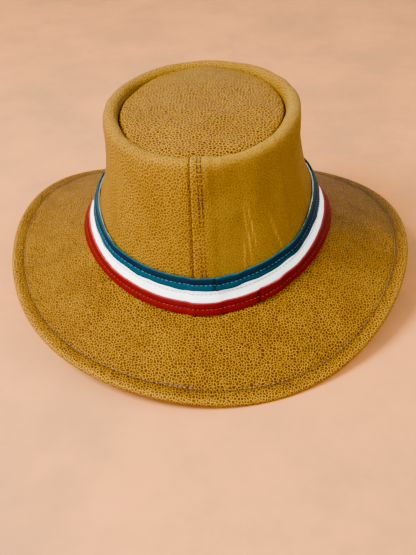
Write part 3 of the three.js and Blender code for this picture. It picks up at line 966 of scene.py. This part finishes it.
# The hem's row ends over its own start, just left of the back, and a little further in.
HEM_START = -11 * DEGREE
HEM_OVERLAP = 8.5 * DEGREE
HEM_OVERLAP_INSET = 1.1


def make_hem_row():
    run = np.arange(0, TURN + HEM_OVERLAP, 0.5 * DEGREE)
    angle = BACK + HEM_START + run
    inset = HEM_STITCH + HEM_OVERLAP_INSET * smooth((run - TURN) / DEGREE + 1)
    rise = hem_top(inset)
    line = brim_point(angle, hem_share(angle, inset), rise)
    out = brim_point(angle, hem_share(angle, inset), rise + 1) - line
    piece = stitches("hem_stitches", line, out, 3.4, 2.5, 0.36, LILAC_THREAD, 61)
    finish_row(piece, "hat", "brim_hem_thread")


def make_seam_rows():
    for name, row in zip(("left", "right"), SEAM_ROWS):
        angle = back_angle(SEAM_EDGE + row)
        rise = np.linspace(2, wall_height(angle), 90)
        bends = np.linspace(0, 0.55 * math.pi, 16)[1:]
        height = rise + opening_height(angle)
        side = wall(angle, rise, LAP_LIFT + crown_dents(angle, height))
        roll = rolled(angle, bends, ROLL_RADIUS + LAP_LIFT)
        line = relaxed(np.concatenate([side, roll])[None], 10)[0]
        out = np.concatenate([
            wall(angle, rise, 2.0) - wall(angle, rise, 1.0),
            rolled(angle, bends, 2.0) - rolled(angle, bends, 1.0),
        ])
        piece = stitches("back_seam_stitches_" + name, line, out, 3.3, 2.3, 0.4, BROWN_THREAD, 71)
        finish_row(piece, "hat", "back_seam_thread_" + name)


def make_strip_row(name, node, material, height, end, off, seed):
    angle = np.append(ring_angles(0.5), BACK + TURN)
    place = back_place(angle)
    lead = smooth((place - end + 0.5) / 0.8)
    trail = 1 - smooth((place - end - STRIP_LAP) / 9.0)
    over_white = white_rise(angle) if off > WHITE_OFF else 0.0
    layer = off + seam_rise(angle) + over_white + STRIP + 0.05 + (STRIP + 0.1) * lead * trail
    line = wall(angle, height, layer)
    out = wall(angle, height, layer + 1) - line
    piece = stitches(name, line, out, 3.2, 2.3, 0.3, material, seed)
    finish_row(piece, "hatband", node)


def make_inner_rows():
    angle = np.append(ring_angles(1.0), BACK + TURN)
    height = LEATHER / 2 + SWEAT_FOOT + SWEAT_ROW
    line = wall(angle, height, -LEATHER - 0.55 - SWEAT_LEATHER)
    out = wall(angle, height, -20.0) - wall(angle, height, -19.0)
    piece = stitches("sweatband_stitches", line, out, 4.0, 2.8, 0.35, LILAC_THREAD, 81)
    finish_row(piece, "hat", "sweatband_thread")
    share = BASE_STITCH / brim_reach(angle)
    base = brim_point(angle, share, -LEATHER / 2)
    out = brim_point(angle, share, -LEATHER / 2 - 1) - base
    piece = stitches("crown_base_stitches", base, out, 4.0, 2.8, 0.35, BROWN_THREAD, 82)
    finish_row(piece, "hat", "base_seam_thread")
    low = roll_height(angle) - RIM_FLANGE - 0.3
    tip = oval(CROWN_RIM, angle, -ROLL_RADIUS - 0.45, low)
    down = np.tile([0.0, 0.0, -1.0], (len(angle), 1))
    piece = stitches("tip_seam_stitches", tip, down, 4.0, 2.8, 0.4, BROWN_THREAD, 83, False)
    finish_row(piece, "hat", "tip_seam_thread")


# ---- The hat -----------------------------------------------------------------------------------
FOOT = LEATHER / 2 + BAND_FOOT
HEAD = FOOT + BAND_WIDTH
WHITE_OFF = 0.5
EDGE_OFF = WHITE_OFF + STRIP + 0.35
TEAL_LOW = HEAD + EDGE_LIP - EDGE_STRIP
RED_LOW = FOOT - EDGE_LIP

make_camera()
make_studio()
make_crown_side()
make_crown_tip()
make_brim()
make_sweatband()
make_strip("white_strip", "hatband_white_strip", WHITE, WHITE_END,
           FOOT, HEAD, WHITE_OFF, FOOT + WHITE_ROW, 0.0, 1, trim=1.6)
make_strip("teal_strip", "hatband_teal_strip", TEAL, TEAL_END,
           TEAL_LOW, TEAL_LOW + EDGE_STRIP, EDGE_OFF, TEAL_LOW + EDGE_STRIP / 2, 0.3, 2, kick=0.5)
make_strip("red_strip", "hatband_red_strip", RED, RED_END,
           RED_LOW, RED_LOW + EDGE_STRIP, EDGE_OFF, RED_LOW + EDGE_STRIP / 2, 0.0, 3, kick=1.8, nicks=(-49.0,))
make_strip_row("teal_stitches", "teal_strip_thread", TEAL_THREAD,
               TEAL_LOW + EDGE_STRIP / 2, TEAL_END, EDGE_OFF, 91)
make_strip_row("white_stitches", "white_strip_thread", WHITE_THREAD,
               FOOT + WHITE_ROW, WHITE_END, WHITE_OFF, 92)
make_strip_row("red_stitches", "red_strip_thread", RED_THREAD,
               RED_LOW + EDGE_STRIP / 2, RED_END, EDGE_OFF, 93)
make_hem_row()
make_seam_rows()
make_inner_rows()
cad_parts["brim_wire"].material_slots[0].material = WIRE
